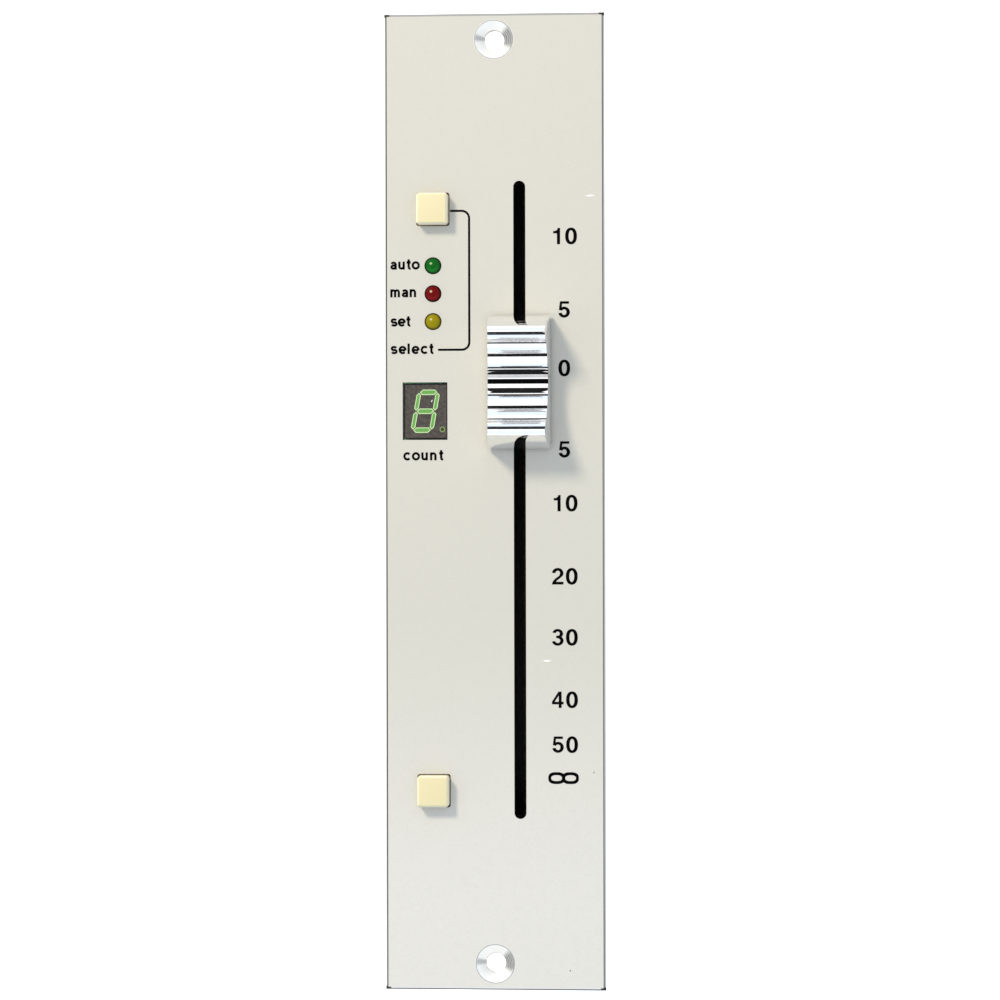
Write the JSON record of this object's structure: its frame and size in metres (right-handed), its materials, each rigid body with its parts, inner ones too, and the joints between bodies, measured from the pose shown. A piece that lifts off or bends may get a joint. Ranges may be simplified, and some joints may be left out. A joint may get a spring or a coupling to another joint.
{
  "type": "slide potentiometer module",
  "caption": "Narrow panel with a motorised long-throw slide fader, ribbed saddle knob, square keys, indicator lamps and a digit display, with its drive and control board behind.",
  "frame": {"origin": "on the panel's rear face, midway between the two mounting holes", "axes": "+X to the right of the panel, +Y to its top, +Z out of its front"},
  "size_m": [0.0386, 0.1712, 0.0589],
  "materials": {
    "panel_paint": "satin pale grey paint",
    "black_steel": "satin black",
    "zinc": "bright zinc plate",
    "ground_steel": "ground and polished",
    "stem_steel": "blanked sheet",
    "stop_rubber": "matte",
    "track_laminate": "glass laminate",
    "carbon_track": "printed carbon",
    "silver_track": "printed silver",
    "contact_metal": "gold flash",
    "tinned": "tinned",
    "motor_case": "drawn and plated",
    "black_moulding": "moulded",
    "switch_moulding": "moulded",
    "clamp_moulding": "moulded",
    "pulley_brass": "turned",
    "natural_moulding": "moulded",
    "belt_rubber": "matte",
    "knob_chrome": "bright plate",
    "index_black": "filled line",
    "board_laminate": "solder mask",
    "spring_steel": "drawn wire",
    "ivory_keys": "fine moulded",
    "green_lens": "tinted lens",
    "red_lens": "tinted lens",
    "yellow_lens": "tinted lens",
    "display_housing": "moulded",
    "display_bars": "cast resin",
    "resistor_body": "lacquered",
    "capacitor_sleeve": "shrink sleeve"
  },
  "bodies": {
    "panel": {"front_panel": "panel_paint", "fader_chassis": "black_steel", "chassis_studs": "zinc", "chassis_nuts": "zinc", "left_guide_rod": "ground_steel", "right_guide_rod": "ground_steel", "stop_sleeves": "stop_rubber", "track_board": "track_laminate", "level_track": "carbon_track", "collector_track": "silver_track", "track_header": "black_moulding", "track_pins": "contact_metal", "motor_plate": "zinc", "idler_plate": "zinc", "plate_screws": "zinc", "motor_can": "motor_case", "motor_end_cap": "black_moulding", "motor_terminals": "contact_metal", "motor_screws": "zinc", "idler_pin": "ground_steel", "idler_ring": "zinc", "drive_belt": "belt_rubber", "control_board": "board_laminate", "board_studs": "zinc", "board_spacers": "zinc", "board_nuts": "zinc", "upper_key_switch": "switch_moulding", "lower_key_switch": "switch_moulding", "switch_pins": "tinned", "upper_return_spring": "spring_steel", "lower_return_spring": "spring_steel", "green_lamp": "green_lens", "red_lamp": "red_lens", "yellow_lamp": "yellow_lens", "lamp_leads": "tinned", "lamp_spacers": "natural_moulding", "display_case": "display_housing", "display_segments": "display_bars", "display_pins": "contact_metal", "display_socket": "black_moulding", "ribbon_header": "black_moulding", "ribbon_pins": "contact_metal", "logic_chip": "black_moulding", "chip_legs": "tinned", "resistors": "resistor_body", "capacitors": "capacitor_sleeve"},
    "fader": {"carriage": "black_moulding", "knob_stem": "stem_steel", "belt_clamp": "clamp_moulding", "wiper_spring": "contact_metal", "fader_knob": "knob_chrome", "index_line": "index_black"},
    "drive_pulley": {"motor_shaft": "ground_steel", "motor_pulley": "pulley_brass"},
    "return_pulley": {"idler_pulley": "natural_moulding"},
    "upper_button": {"upper_button_cap": "ivory_keys", "upper_plunger": "natural_moulding"},
    "lower_button": {"lower_button_cap": "ivory_keys", "lower_plunger": "natural_moulding"}
  },
  "joints": [
    {"name": "fader_slide", "type": "slide", "parent": "panel", "child": "fader", "axis": [0, 1, 0], "range_m": [-0.0706, 0.0294]},
    {"name": "motor_pulley_spin", "type": "hinge", "parent": "panel", "child": "drive_pulley", "pos_m": [0.0044, -0.0682, 0], "axis": [0, 0, 1], "continuous": true},
    {"name": "idler_pulley_spin", "type": "hinge", "parent": "panel", "child": "return_pulley", "pos_m": [0.0044, 0.0688, 0], "axis": [0, 0, 1], "continuous": true},
    {"name": "upper_button_press", "type": "slide", "parent": "panel", "child": "upper_button", "axis": [0, 0, -1], "range_m": [0, 0.0012], "stiffness_N_per_m": 400, "springref_m": -0.0008, "deforming": ["upper_return_spring"]},
    {"name": "lower_button_press", "type": "slide", "parent": "panel", "child": "lower_button", "axis": [0, 0, -1], "range_m": [0, 0.0012], "stiffness_N_per_m": 400, "springref_m": -0.0008, "deforming": ["lower_return_spring"]}
  ],
  "couplings": [
    {"joint": "motor_pulley_spin", "follows": "fader_slide", "rad_per_m": -200},
    {"joint": "idler_pulley_spin", "follows": "fader_slide", "rad_per_m": -200}
  ]
}
